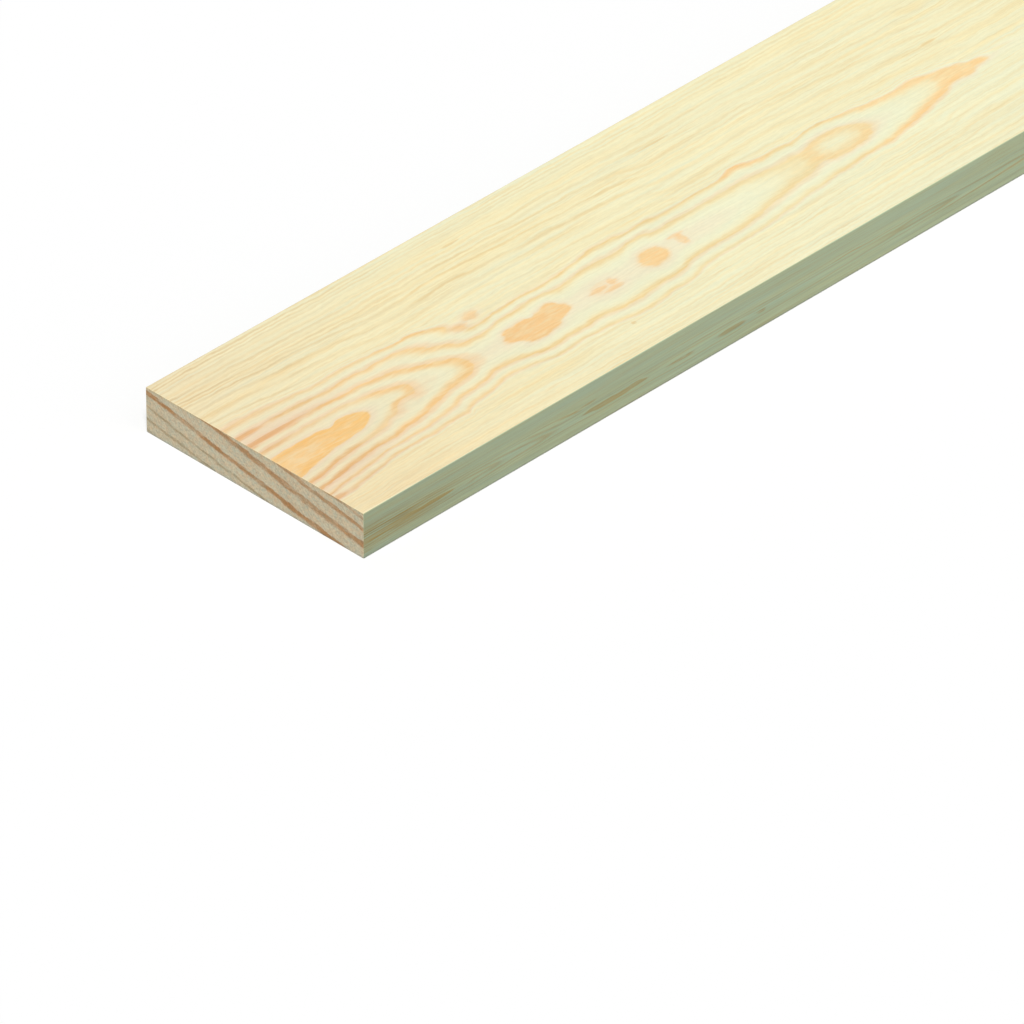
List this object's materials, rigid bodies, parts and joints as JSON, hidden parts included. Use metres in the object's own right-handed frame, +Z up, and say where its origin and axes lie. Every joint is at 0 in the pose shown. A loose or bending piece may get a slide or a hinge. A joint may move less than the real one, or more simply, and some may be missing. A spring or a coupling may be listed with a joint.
{
  "type": "timber plank",
  "caption": "Planed square-edge softwood plank: one long flat board with lightly eased long edges and square-sawn ends, used as building and joinery stock.",
  "frame": {"origin": "middle of the back face, which rests on the ground", "axes": "+X along the length, +Y across the width, +Z up through the thickness to the face side"},
  "size_m": [1.8, 0.119, 0.021],
  "materials": {
    "pine": "planed bare pine, flat-sawn figure, satin to matte"
  },
  "bodies": {
    "root": {"plank": "pine"}
  },
  "joints": []
}
